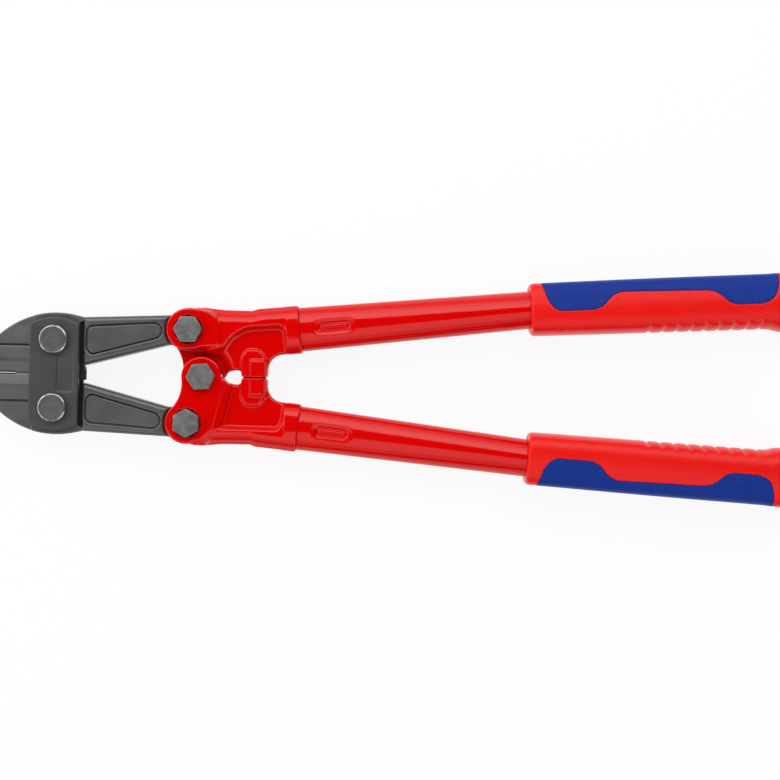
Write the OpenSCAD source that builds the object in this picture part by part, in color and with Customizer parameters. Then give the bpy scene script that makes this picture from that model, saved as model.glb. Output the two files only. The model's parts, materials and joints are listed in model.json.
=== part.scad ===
// Centre-cut bolt cutter, closed, lying flat with the bolt heads up.
// X runs along the tool from the jaws (-X) to the grips (+X), Z is up.
// Shapes are drawn in the tool frame: its origin is the handle pivot at mid-thickness,
// and "upper" is the +Y side. place() moves them to the part's own origin.

/* [Overall] */
// From the handle pivot to the jaw tips
tip_reach = 128; // [120:0.5:136]
// From the handle pivot to the ends of the grips
handle_reach = 332; // [300:1:380]
// From the handle pivot back to the pivots in the link plates
link_pivot_back = 82.5; // [78:0.5:86]
// From the centreline out to each link plate pivot
link_pivot_out = 19; // [18:0.25:20]
// From the handle pivot back to the pins that join handles and blades
pin_back = 8.1; // [7:0.1:9]
// From the centreline out to each of those pins
pin_out = 26.2; // [25.8:0.1:27]

/* [Clearances] */
// Radial clearance of a pin that turns in its hole
running_fit = 0.05; // [0.02:0.01:0.09]
// Gap between flat faces that slide past each other
side_gap = 0.2; // [0.15:0.05:0.3]
// Gap between the closed cutting edges
edge_gap = 0.3; // [0.2:0.1:0.6]
// Gap left between the two handle stops, which the eccentric bolts take up
stop_gap = 0.6; // [0.4:0.1:1.2]
// Play of the upper handle's lug round the handle pivot bolt
linkage_play = 1.85; // [1.8:0.05:2.2]
// Gap all round a blade eye inside its fork
fork_gap = 0.4; // [0.3:0.1:0.8]

/* [Blades] */
// Thickness of the jaws and of the blade under the link plates
blade_thickness = 10; // [8:0.5:12]
// Thickness of the raw forged blade arms
arm_thickness = 14; // [12.6:0.2:15]
// Radius of the round back of the jaws
jaw_back_r = 48.3; // [46:0.1:52]
// How far past the centreline the centre of that round back lies
jaw_back_drop = 14.1; // [12:0.1:15]
// Width of the ground zone, from the cutting edge
grind_width = 15.6; // [12:0.2:18]
// Depth of the step where the ground zone starts
grind_step = 0.3; // [0.1:0.1:0.8]
// Width of the two bevels beside the cutting edge
bevel_width = 9; // [7:0.5:11]
// Half of the thickness that is left at the cutting edge
edge_half_thickness = 0.5; // [0.3:0.1:1.5]
// Radius of the blade eye round the blade pin
eye_r = 9.5; // [8.5:0.1:10]
// Distance from the link pivot to the shoulder of the thick arm
shoulder_offset = 16.3; // [16.3:0.1:18]
// Angle by which the heels are relieved, which stops the opening
heel_relief_angle = 7.9; // [7.8:0.1:10]
// Length along X of the tongue on the upper heel
tongue_length = 6; // [4:0.5:7]
// Thickness of that tongue, which slides in a slot of the lower heel
tongue_thickness = 4.8; // [3:0.2:5]
// Depth of the bare panel in each arm face
arm_panel_depth = 1.4; // [0.4:0.1:2]
// Width of the rim that frames that panel
arm_panel_rim = 4.2; // [3:0.1:6]

/* [Link plates] */
// Thickness of each link plate
plate_thickness = 4; // [3:0.25:5]
// Half width of a link plate along X
plate_half_width = 13.8; // [12:0.1:14]
// How far a plate reaches past its pivots
plate_end_margin = 12.5; // [11:0.25:14]
// Radius of the crowned ends of the plates
plate_crown_r = 26.4; // [22:0.1:40]

/* [Bolts and nuts] */
// Shank radius of the link bolts
link_bolt_r = 5; // [4:0.25:6]
// Radius of the round heads of the link bolts
link_head_r = 7.9; // [7:0.1:9]
// Height of the round heads
link_head_height = 4; // [3:0.25:5]
// Width across flats of the hex heads and nuts
hex_flats = 14.1; // [13.9:0.1:16]
// Height of the hex heads
hex_head_height = 4; // [3:0.25:5]
// Depth of the sockets that lock the eccentric bolts
socket_depth = 1.5; // [1:0.1:2.5]
// Clearance round a hex head in its socket
socket_clearance = 0.3; // [0.2:0.05:0.6]
// Radius of an eccentric bolt in the blade eye
journal_r = 6; // [5:0.25:6.5]
// How far that journal is off the bolt's own axis
eccentricity = 0.4; // [0.2:0.05:0.8]
// Radius of the threaded end of an eccentric bolt
eccentric_thread_r = 4.5; // [3.5:0.25:5]
// Shank radius of the handle pivot bolt
pivot_bolt_r = 5; // [4:0.25:5.25]
// Radius of the washer under the handle pivot nut
washer_r = 9.2; // [8.8:0.1:10]
// Thickness of that washer
washer_thickness = 1; // [0.8:0.1:1.5]
// Height of the round collar that holds a nut's nylon ring
collar_height = 1.6; // [1.2:0.1:2]
// Outer radius of that round collar
collar_r = 6.9; // [6.8:0.05:7.1]
// Wall of that round collar
collar_wall = 0.9; // [0.6:0.1:1.1]
// How far the nylon rings stay above the rest plane
ring_recess = 0.3; // [0.1:0.1:0.5]
// How far the bolt ends stay above the rest plane
bolt_end_recess = 0.5; // [0.2:0.1:1]

/* [Handle heads] */
// Thickness of each fork cheek
cheek_thickness = 4.6; // [4:0.1:6]
// Radius of the bosses round the blade pins
boss_r = 11.9; // [11:0.1:12.2]
// Radius of the lugs round the handle pivot
lug_r = 11.4; // [11:0.1:11.8]
// Radius of the hollow between a boss and a lug
waist_r = 20; // [16:0.5:24]
// Thickness of the web that carries the stops
web_thickness = 9; // [7:0.5:12]
// Thickness of the bar along the outer edge
bar_thickness = 17.6; // [16:0.2:19]
// Width of that bar
bar_width = 9.3; // [8:0.1:11]
// Thickness over the stop pads
pad_thickness = 12.6; // [11:0.2:15]
// Thickness over the raised blocks on those pads
block_thickness = 15; // [12:0.2:17]
// From the handle pivot to the start of the stops
stop_start = 22.1; // [21.5:0.1:23]
// Length of the stops
stop_length = 14.4; // [12:0.1:16]
// Radius of the throat beside the stops
throat_r = 9.3; // [8:0.1:10]

/* [Tubes] */
// From the handle pivot to the end of the head's collar, along X
tube_start_x = 54.2; // [52:0.1:56]
// Height of the tube axis there above the centreline
tube_start_y = 27.7; // [27:0.1:29]
// Angle of the tubes to the centreline
tube_angle = 6.2; // [5.5:0.1:7]
// Length of the tube from the head to the bend at the grip
tube_run = 129; // [110:1:150]
// Width of the oval tube end at the head
oval_width = 24.8; // [22:0.1:25.4]
// Thickness of the oval tube end at the head
oval_thickness = 17.6; // [16:0.1:18.4]
// Radius of the tube where it is round
tube_r = 10.6; // [10:0.1:11]
// Wall thickness of the tube
tube_wall = 2; // [1.5:0.1:2.5]
// How much the collar is prouder than the tube
collar_step = 0.5; // [0.2:0.1:1]
// Length of the spigot inside the tube
spigot_length = 42; // [38:1:60]
// Clearance of the spigot in the tube
spigot_clearance = 0.05; // [0.03:0.01:0.1]
// From the tube end to the middle of the crimp
crimp_position = 19.6; // [18:0.1:24]
// Length of the crimp
crimp_length = 24; // [18:0.5:28]
// Width of the crimp
crimp_width = 7.6; // [6:0.1:10]
// Depth of the crimp
crimp_depth = 1.6; // [0.8:0.1:2]

/* [Grips] */
// Angle of the grips to the centreline
grip_angle = 3.45; // [2.5:0.05:4.5]
// Thickness of a grip between its two flats
grip_thickness = 30; // [28:0.5:34]
// Radius of the round that joins the grip's sides
grip_round_r = 17.6; // [17.4:0.1:19]
// From the tube axis to the outer side at the grip's start
grip_outer_half = 14.9; // [14:0.1:16]
// From the tube axis to the inner side at the grip's start
grip_inner_half = 14.4; // [14:0.1:16]
// How much the outer side widens along the grip
outer_widening = 1.1; // [0:0.1:1.5]
// How much the inner side widens along the grip
inner_widening = 1.6; // [0:0.1:2]
// How far the guard at the grip's end stands out
guard_height = 1.8; // [1:0.1:2]
// Length of the guard
guard_length = 15; // [12:0.5:18]
// Number of finger ridges' grooves
groove_count = 9; // [5:1:11]
// Distance from one groove to the next
groove_pitch = 7.8; // [7:0.1:9]
// Radius of the grooves
groove_r = 2.8; // [2.2:0.1:3.6]
// Depth of the grooves
groove_depth = 1; // [0.5:0.1:1.3]
// Distance of the last groove from the grip's end
groove_margin = 19.9; // [16:0.1:24]
// Thickness of the soft inlay
inlay_thickness = 2.2; // [1.5:0.1:3]
// Solid plastic beyond the tube's end
grip_end_wall = 5; // [3:0.5:8]

/* [Hidden] */
$fn = 96;
hull_fn = 40;
cut = 1;
big = 400;

steel_color = [0.36, 0.37, 0.37];
bolt_color = [0.48, 0.49, 0.48];
red_paint_color = [0.82, 0.02, 0.02];
red_plastic_color = [0.90, 0.09, 0.08];
blue_color = [0.08, 0.18, 0.50];
nylon_color = [0.80, 0.80, 0.76];

// Layers, measured from the mid-plane
blade_z = blade_thickness / 2;
arm_z = arm_thickness / 2;
plate_in_z = blade_z + side_gap;
plate_out_z = plate_in_z + plate_thickness;
cheek_in_z = blade_z + side_gap;
cheek_out_z = cheek_in_z + cheek_thickness;
lug_face_z = side_gap * 0.75;
rest_z = grip_thickness / 2;
washer_in_z = cheek_out_z + lug_face_z * 2;
washer_out_z = washer_in_z + washer_thickness;

// Main points
link_pivot = [-link_pivot_back, link_pivot_out];
pin = [-pin_back, pin_out];
adjust_axis = pin + [eccentricity, 0];
jaw_back = [sqrt(pow(jaw_back_r, 2) - pow(jaw_back_drop + edge_gap / 2, 2)) - tip_reach, -jaw_back_drop];
shoulder_x = link_pivot[0] + shoulder_offset;
plate_left_x = link_pivot[0] - plate_half_width;
stop_end = stop_start + stop_length;
tube_start = [tube_start_x, tube_start_y];
grip_start = tube_start + tube_run * [cos(tube_angle), sin(tube_angle)];
grip_length = (handle_reach - grip_start[0]) / cos(grip_angle);
tool_shift = (tip_reach - handle_reach) / 2;
eccentric_front_r = journal_r + eccentricity + 0.3;

// Where a blade arm's two edges run
arm_outer_left = jaw_back[1] + sqrt(pow(jaw_back_r, 2) - pow(shoulder_x - jaw_back[0], 2));
arm_inner_left = 5;
arm_outer_right = pin[1] + eye_r - 1.8;
arm_inner_right = pin[1] - eye_r + 0.9;
arm_end_x = pin[0] - 11;

// Centre of the hollow that joins a boss and a lug, tangent to both circles
pin_distance = norm(pin);
waist_to_boss = boss_r + waist_r;
waist_to_lug = lug_r + waist_r;
waist_along = (pow(waist_to_lug, 2) - pow(waist_to_boss, 2) + pow(pin_distance, 2)) / (2 * pin_distance);
waist_aside = sqrt(pow(waist_to_lug, 2) - pow(waist_along, 2));
waist = waist_along * pin / pin_distance + waist_aside * [-pin[1], pin[0]] / pin_distance;

module place() {
    translate([tool_shift, 0, rest_z]) children();
}

// The other side's piece as a mirror image
module mirrored() {
    place() mirror([0, 1, 0]) children();
}

// The other side's piece as the same forging, turned over
module turned_over() {
    place() rotate([180, 0, 0]) children();
}

module both_faces() {
    children();
    mirror([0, 0, 1]) children();
}

module slab(z0, z1) {
    translate([0, 0, z0]) linear_extrude(z1 - z0) children();
}

module stadium(length, width) {
    square([length - width, width], center = true);
    for (side = [-1, 1]) translate([side * (length - width) / 2, 0]) circle(d = width);
}

module hexagon(flats) {
    circle(d = flats / cos(30), $fn = 6);
}

// ---- Blades ----

module arm_outline() {
    polygon([[shoulder_x, arm_inner_left], [shoulder_x, arm_outer_left], [arm_end_x, arm_outer_right],
             pin + eye_r * [cos(105), sin(105)], pin - [0, eye_r], [arm_end_x, arm_inner_right]]);
}

module jaw_outline() {
    difference() {
        translate(jaw_back) circle(r = jaw_back_r, $fn = 180);
        translate([-big, edge_gap / 2 - big]) square([2 * big, big]);
        translate([shoulder_x, -big]) square(2 * big);
        // The heel is relieved behind the link pivot, so that the blades can open
        translate([link_pivot[0], edge_gap / 2]) rotate(heel_relief_angle - 90) square(big);
    }
}

module arm_panel() {
    end_r = 4.9;
    end = [pin[0] - boss_r - arm_panel_rim - end_r + 1, (arm_outer_right + arm_inner_right) / 2 - 0.6];
    left = shoulder_x + 1.2;
    top = arm_outer_left - arm_panel_rim;
    bottom = arm_inner_left + arm_panel_rim * 1.35;
    translate(end) circle(r = end_r);
    polygon([end + [0, end_r], [left + 2, top], [left, top - 2], [left, bottom + 3],
             [left + 3.5, bottom], end - [-end_r * 0.25, end_r * 0.97]]);
}

// Ground bevels of the jaw, as what is cut away above the mid-plane
module bevel_cut() {
    steep_width = 2.4;
    steep_depth = 1.4;
    grind_depth = 0.3;
    z1 = blade_z - grind_step;
    z2 = z1 - grind_depth;
    length = plate_left_x + 1.2 + tip_reach + cut;
    translate([-tip_reach - cut, 0, 0]) rotate([90, 0, 90]) linear_extrude(length)
        polygon([[grind_width, blade_z + cut], [grind_width, z1], [bevel_width, z2],
                 [bevel_width - steep_width, z2 - steep_depth], [0, edge_half_thickness],
                 [-cut, edge_half_thickness], [-cut, blade_z + cut]]);
}

// The upper heel's tongue, which keeps the two jaws in one plane
module heel_tongue() {
    translate([shoulder_x - tongue_length, -3]) square([tongue_length, 7]);
}

// What that tongue sweeps in the lower heel as the jaws open
module tongue_sweep() {
    translate([shoulder_x - tongue_length - 2, -7.6]) square([tongue_length + 2.3, 12]);
}

module blade(tongue) {
    difference() {
        union() {
            slab(-blade_z, blade_z) {
                jaw_outline();
                arm_outline();
                translate(pin) circle(r = eye_r);
            }
            if (tongue) slab(-tongue_thickness / 2, tongue_thickness / 2) heel_tongue();
            // The raw forged arm stays clear of the boss that it swings round
            slab(-arm_z, arm_z) difference() {
                arm_outline();
                translate(pin) circle(r = boss_r + 0.6);
            }
        }
        both_faces() bevel_cut();
        both_faces() slab(arm_z - arm_panel_depth, arm_z + cut) arm_panel();
        slab(-arm_z - cut, arm_z + cut) {
            translate(link_pivot) circle(r = link_bolt_r + running_fit);
            translate(pin) circle(r = journal_r + running_fit);
        }
        if (!tongue) slab(-tongue_thickness / 2 - side_gap, tongue_thickness / 2 + side_gap)
            mirror([0, 1, 0]) tongue_sweep();
    }
}

module upper_blade() color(steel_color) place() blade(true);
module lower_blade() color(steel_color) mirrored() blade(false);

// ---- Link plates and their bolts ----

module link_plate() {
    half_height = link_pivot_out + plate_end_margin;
    corner = half_height - plate_crown_r + sqrt(pow(plate_crown_r, 2) - pow(plate_half_width, 2));
    slab(plate_in_z, plate_out_z) translate([link_pivot[0], 0]) difference() {
        union() {
            square([2 * plate_half_width, 2 * corner], center = true);
            for (side = [-1, 1]) intersection() {
                translate([0, side * (half_height - plate_crown_r)]) circle(r = plate_crown_r);
                translate([0, side * half_height / 2]) square([2 * plate_half_width, half_height], center = true);
            }
        }
        for (side = [-1, 1]) translate([0, side * link_pivot_out]) circle(r = link_bolt_r + running_fit);
    }
}

module front_link_plate() color(steel_color) place() link_plate();
module rear_link_plate() color(steel_color) turned_over() link_plate();

module shank(r) {
    translate([0, 0, -rest_z + bolt_end_recess]) cylinder(r = r, h = rest_z - bolt_end_recess + cut);
}

module link_bolt() {
    chamfer = 0.7;
    translate(link_pivot) {
        shank(link_bolt_r);
        cylinder(r = link_bolt_r, h = plate_out_z + cut);
        translate([0, 0, plate_out_z]) {
            cylinder(r = link_head_r, h = link_head_height - chamfer);
            translate([0, 0, link_head_height - chamfer])
                cylinder(r1 = link_head_r, r2 = link_head_r - chamfer, h = chamfer);
        }
    }
}

// A hex nut with a round collar that holds its nylon ring, from a seat down to the rest plane
module nut(seat_z, bore_r) {
    difference() {
        union() {
            slab(-seat_z - (rest_z - seat_z - collar_height), -seat_z) hexagon(hex_flats);
            slab(-rest_z, -seat_z) circle(r = collar_r);
        }
        slab(-rest_z - cut, -seat_z + cut) circle(r = bore_r + running_fit);
        slab(-rest_z - cut, -rest_z + collar_height) circle(r = collar_r - collar_wall);
    }
}

module lock_ring(bore_r) {
    slab(-rest_z + ring_recess, -rest_z + collar_height) difference() {
        circle(r = collar_r - collar_wall - running_fit);
        circle(r = bore_r + running_fit);
    }
}

module upper_link_bolt() color(bolt_color) place() link_bolt();
module lower_link_bolt() color(bolt_color) mirrored() link_bolt();
module upper_link_nut() color(bolt_color) place() translate(link_pivot) nut(plate_out_z, link_bolt_r);
module lower_link_nut() color(bolt_color) mirrored() translate(link_pivot) nut(plate_out_z, link_bolt_r);
module link_lock_rings() color(nylon_color) {
    place() translate(link_pivot) lock_ring(link_bolt_r);
    mirrored() translate(link_pivot) lock_ring(link_bolt_r);
}

// ---- Blade pins: eccentric bolts that set the gap of the cutting edges ----

module eccentric_bolt(turn) {
    seat = cheek_out_z - socket_depth;
    translate(adjust_axis) {
        shank(eccentric_thread_r);
        slab(cheek_in_z, seat + cut) circle(r = eccentric_front_r);
        slab(seat, seat + socket_depth + hex_head_height - 0.5) rotate(turn) hexagon(hex_flats);
    }
    translate(pin) slab(-cheek_in_z, cheek_in_z + cut) circle(r = journal_r);
}

module upper_eccentric_bolt() color(bolt_color) place() eccentric_bolt(0);
module lower_eccentric_bolt() color(bolt_color) mirrored() eccentric_bolt(30);
module upper_eccentric_nut() color(bolt_color) place()
    translate(adjust_axis) nut(cheek_out_z, eccentric_thread_r);
module lower_eccentric_nut() color(bolt_color) mirrored()
    translate(adjust_axis) nut(cheek_out_z, eccentric_thread_r);
module upper_lock_ring() color(nylon_color) place() translate(adjust_axis) lock_ring(eccentric_thread_r);
module lower_lock_rings() color(nylon_color) {
    mirrored() translate(adjust_axis) lock_ring(eccentric_thread_r);
    place() lock_ring(pivot_bolt_r);
}

// ---- Handle pivot ----

module handle_pivot_bolt() color(bolt_color) place() {
    shank(pivot_bolt_r);
    cylinder(r = pivot_bolt_r, h = cheek_out_z + cut);
    slab(cheek_out_z, cheek_out_z + hex_head_height) rotate(5) hexagon(hex_flats);
}

module handle_pivot_washer() color(bolt_color) place() slab(-washer_out_z, -washer_in_z) difference() {
    circle(r = washer_r);
    circle(r = pivot_bolt_r + running_fit);
}

module handle_pivot_nut() color(bolt_color) place() rotate(8) nut(washer_out_z, pivot_bolt_r);

// ---- Handle heads ----

// Outline of the whole head, from the fork to the collar
module head_outline() {
    side = [-sin(tube_angle), cos(tube_angle)];
    collar_half = oval_width / 2 + collar_step;
    throat = [stop_end + throat_r, tube_start_y - collar_half - 1 - throat_r];
    half_gap = stop_gap / 2;
    difference() {
        polygon([[pin[0], pin[1] + boss_r], [1, pin[1] + boss_r + 0.4], [12, pin[1] + boss_r - 0.7],
                 [stop_start + 5.2, pin[1] + boss_r - 0.8], [stop_start + 8.8, pin[1] + boss_r + 0.4],
                 tube_start + collar_half * side, tube_start - collar_half * side,
                 throat + [0, throat_r], throat, [stop_end, throat[1]],
                 [stop_end, half_gap + 1], [stop_end - 1, half_gap], [stop_start + 1, half_gap],
                 [stop_start, half_gap + 1], [stop_start, 3.2], [stop_start - 1.3, 4.2],
                 [stop_start - 5.4, 3.6], [stop_start - 8.7, 1.6], [stop_start - 9.5, half_gap],
                 [0, half_gap], [0, pin[1] - boss_r], [pin[0], pin[1] - boss_r]]);
        translate(throat) circle(r = throat_r);
    }
}

// The web's open side, where the bar stops: arched on the front, straight-sided on the back
module arched_panel() {
    top = pin[1] + boss_r - bar_width;
    left = 12.6;
    right = tube_start_x - 7.4;
    polygon([[-cut, 0], [-cut, lug_r + 2.2], [left - 1.6, lug_r + 2.8], [left + 4, top - 6.2],
             [left + 12, top - 1.4], [right - 4.2, top + 0.2], [right - 0.9, top - 2], [right, top - 12], [right, 0]]);
}

module straight_panel() {
    top = pin[1] + boss_r - bar_width - 0.8;
    left = 10;
    right = tube_start_x - 9;
    polygon([[left + 5, 0], [left, top - 2.6], [left + 2.4, top - 0.8], [right - 3, top + 0.4],
             [right - 1.2, top - 1], [right + 1, top - 12], [right + 1, 0]]);
}

// The plate that joins a boss and the half lug of the handle pivot
module hourglass() {
    circle(r = lug_r);
    translate(pin) circle(r = boss_r);
    difference() {
        polygon([[0, 0], waist, pin]);
        translate(waist) circle(r = waist_r);
    }
    polygon([[0, 0], pin, pin + [6.1, boss_r - 1.6], pin + [9, boss_r - 2.7], pin + [15.3, 3.2],
             [lug_r + 1.4, 6.3], [lug_r - 0.3, 2]]);
}

// The fork's other cheek
module small_cheek() {
    translate(pin) circle(r = boss_r);
    polygon([pin + [-4.8, 1 - boss_r], pin + [16.3, -9], pin + [17.5, -7.2], pin + [17.5, -0.5],
             pin + [15.4, 7.8], pin + [12.4, 10], pin + [7.6, boss_r - 0.5], pin + [0, boss_r]]);
}

// Room that the blade eye and arm sweep between the cheeks
module fork_slot() {
    r = eye_r + fork_gap;
    translate(pin) {
        circle(r = r);
        translate([-big, -r]) square([big, r]);
        translate([-big, 0]) square([big + 0.4 * r, big]);
    }
}

module stop_pad() {
    polygon([[stop_start - 0.6, stop_gap / 2 + cut], [stop_start - 0.6, 9], [stop_start + 2.4, 14.4],
             [stop_start + 6.4, 15.8], [stop_start + 10.4, 14.8], [stop_end - 1.6, 11.5],
             [stop_end - 0.9, 6], [stop_end - 0.9, stop_gap / 2 + cut]]);
}

// The raised face that takes the load when the stops meet
module stop_block() {
    translate([stop_start + 4.5, stop_gap / 2]) square([stop_length - 5.6, 10.2]);
}

module along_tube(distance) {
    translate(tube_start) rotate(tube_angle) translate([distance, 0, 0]) rotate([90, 0, 90]) children();
}

module crimp_outline(extra) {
    translate(tube_start) rotate(tube_angle) translate([crimp_position, 0])
        stadium(crimp_length + 2 * extra, crimp_width + 2 * extra);
}

crimp_floor_z = oval_thickness / 2 - crimp_depth + 0.2;

// The tube wall that the crimp presses into the spigot
module crimp_pad(extra) {
    both_faces() slab(crimp_floor_z - tube_wall - extra, oval_thickness / 2 + cut)
        crimp_outline(tube_wall / 2 + extra);
}

module spigot() {
    difference() {
        along_tube(-cut) linear_extrude(spigot_length - 1 + cut)
            stadium(oval_width - 2 * (tube_wall + spigot_clearance),
                    oval_thickness - 2 * (tube_wall + spigot_clearance));
        crimp_pad(spigot_clearance);
    }
}

// One forging serves both handles. The half lug lies below the mid-plane, socket_side says
// which cheek takes the bolt head, and lug_bore_r is the handle pivot's hole.
module handle_head(socket_side, lug_bore_r) {
    sweep_r = lug_r + linkage_play + 0.4;
    difference() {
        union() {
            slab(-cheek_out_z, -lug_face_z) hourglass();
            slab(0, cheek_out_z) small_cheek();
            slab(-web_thickness / 2, web_thickness / 2) head_outline();
            slab(0, bar_thickness / 2) difference() {
                head_outline();
                arched_panel();
            }
            slab(-bar_thickness / 2, 0) difference() {
                head_outline();
                straight_panel();
            }
            slab(-pad_thickness / 2, pad_thickness / 2) stop_pad();
            slab(-block_thickness / 2, block_thickness / 2) stop_block();
            along_tube(-7) linear_extrude(7)
                stadium(oval_width + 2 * collar_step, oval_thickness + 2 * collar_step);
        }
        // Room for the other handle's half lug
        slab(-lug_face_z, cheek_out_z + cut) {
            circle(r = sweep_r);
            translate([-big, -big]) square([big + lug_r - 1.1, big + pin[1] - boss_r + 1]);
        }
        slab(-cheek_in_z, cheek_in_z) fork_slot();
        slab(-cheek_out_z - cut, 0) circle(r = lug_bore_r);
        // The eccentric bolt's three diameters
        translate(adjust_axis) {
            slab(-cheek_out_z - cut, cheek_out_z + cut) circle(r = eccentric_thread_r + running_fit);
            rotate([socket_side > 0 ? 0 : 180, 0, 0]) {
                slab(0, cheek_out_z) circle(r = eccentric_front_r + running_fit);
                slab(cheek_out_z - socket_depth, cheek_out_z + cut)
                    for (turn = [0, 30]) rotate(turn) hexagon(hex_flats + 2 * socket_clearance);
            }
        }
    }
    spigot();
}

module upper_handle_head() color(red_paint_color) place() handle_head(1, pivot_bolt_r + linkage_play);
module lower_handle_head() color(red_paint_color) turned_over() handle_head(-1, pivot_bolt_r + running_fit);

// ---- Tubes ----

module handle_tube() {
    bore_r = tube_r - tube_wall;
    straight = grip_length - grip_end_wall - 0.5;
    difference() {
        union() {
            hull($fn = hull_fn) {
                along_tube(0) linear_extrude(0.1) stadium(oval_width, oval_thickness);
                along_tube(tube_run + 1) linear_extrude(0.1) circle(r = tube_r - 0.2);
            }
            translate(grip_start) rotate(grip_angle) rotate([0, 90, 0]) cylinder(r = tube_r, h = straight);
        }
        difference() {
            along_tube(-cut) linear_extrude(spigot_length + cut)
                stadium(oval_width - 2 * tube_wall, oval_thickness - 2 * tube_wall);
            crimp_pad(0);
        }
        along_tube(spigot_length - cut) cylinder(r = bore_r - 0.5, h = tube_run - spigot_length + cut);
        translate(grip_start) rotate(grip_angle) translate([-cut, 0, 0]) rotate([0, 90, 0])
            cylinder(r = bore_r, h = straight + 2 * cut);
        both_faces() slab(crimp_floor_z, rest_z) crimp_outline(0);
    }
}

module upper_tube() color(red_paint_color) place() handle_tube();
module lower_tube() color(red_paint_color) mirrored() handle_tube();

// ---- Grips: a hard shell with a soft inlay, along +X from the bend ----

module in_grip() {
    translate(grip_start) rotate(grip_angle) children();
}

module grip_outline(inset) {
    outer = grip_outer_half - inset;
    inner = grip_inner_half - inset;
    end = grip_length + 2;
    difference() {
        polygon([[inset, 1.4 - inner], [inset, outer - 1.4], [1.4 + inset, outer],
                 [end / 2, outer + outer_widening], [end - 10, outer + outer_widening],
                 [end - 3, outer + outer_widening - 1.8], [end, outer + outer_widening - 6], [end, 2 - inner],
                 [end - 3, -inner - inner_widening - guard_height + 0.6],
                 [end - guard_length + 5, -inner - inner_widening - guard_height],
                 [end - guard_length - 2, -inner - inner_widening], [1.4 + inset, -inner]]);
        for (i = [0:groove_count - 1]) {
            u = grip_length - groove_margin - i * groove_pitch;
            edge = grip_inner_half + inner_widening * u / grip_length;
            translate([u, -edge - groove_r + groove_depth]) circle(r = groove_r);
        }
    }
}

module grip_body(inset) {
    shoulder = 1.6;
    r = grip_round_r - inset;
    intersection() {
        in_grip() slab(inset - rest_z, rest_z - inset) grip_outline(inset);
        in_grip() rotate([0, 90, 0]) {
            cylinder(r1 = r - shoulder, r2 = r, h = shoulder);
            translate([0, 0, shoulder]) cylinder(r = r, h = grip_length - shoulder - 6);
            translate([0, 0, grip_length - 6]) cylinder(r1 = r, r2 = r - 4, h = 8);
        }
        translate([0, -big / 2, -big / 2]) cube([handle_reach - inset, big, big]);
    }
}

// The two lobes of the soft inlay and the waist between them
module inlay_outline() {
    lobe = -1.8;
    waist_v = 7.4;
    far = grip_outer_half + outer_widening + 3;
    first = [6, 46.2];
    last = [grip_length - 45.9, grip_length - 11];
    polygon([[first[0] - 1, far], [first[0] + 4.6, 3.8], [first[0] + 7.3, 0.3], [first[0] + 9.7, lobe + 0.6],
             [first[0] + 11, lobe], [first[1] - 9.5, lobe], [first[1] - 5, 0.3], [first[1], 5.9],
             [first[1] + 4.9, waist_v + 0.5], [last[0] - 5, waist_v - 0.6], [last[0], 5.9], [last[0] + 3.6, 2.9],
             [last[0] + 7.6, -0.8], [last[0] + 12, lobe], [last[1] - 9.5, lobe], [last[1] - 4.7, -0.3],
             [last[1] - 1.7, 2.9], [last[1], 8.7], [last[1] + 1.4, far]]);
}

module inlay_zone() {
    difference() {
        in_grip() slab(-big / 2, big / 2) inlay_outline();
        grip_body(inlay_thickness);
    }
}

module grip_shell() {
    difference() {
        grip_body(0);
        inlay_zone();
        in_grip() translate([-cut, 0, 0]) rotate([0, 90, 0])
            cylinder(r = tube_r + running_fit, h = grip_length - grip_end_wall + cut);
    }
}

module grip_inlay() {
    intersection() {
        grip_body(0);
        inlay_zone();
    }
}

module upper_grip_shell() color(red_plastic_color) place() grip_shell();
module lower_grip_shell() color(red_plastic_color) mirrored() grip_shell();
module upper_grip_inlay() color(blue_color) place() grip_inlay();
module lower_grip_inlay() color(blue_color) mirrored() grip_inlay();

upper_blade();
lower_blade();
front_link_plate();
rear_link_plate();
upper_link_bolt();
lower_link_bolt();
upper_link_nut();
lower_link_nut();
link_lock_rings();
upper_eccentric_bolt();
lower_eccentric_bolt();
upper_eccentric_nut();
lower_eccentric_nut();
upper_lock_ring();
lower_lock_rings();
handle_pivot_bolt();
handle_pivot_washer();
handle_pivot_nut();
upper_handle_head();
lower_handle_head();
upper_tube();
lower_tube();
upper_grip_shell();
lower_grip_shell();
upper_grip_inlay();
lower_grip_inlay();
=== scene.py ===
"""Looks of the centre-cut bolt cutter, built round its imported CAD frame.

Forged and moulded pieces are distance fields, joined with fillets and skinned. Tubes and
round bolts are lofts. Shapes are drawn in millimetres in the tool frame: its origin is the
handle pivot at mid-thickness, X runs from the jaws to the grips, and Z is up.
"""

import json
import math

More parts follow.
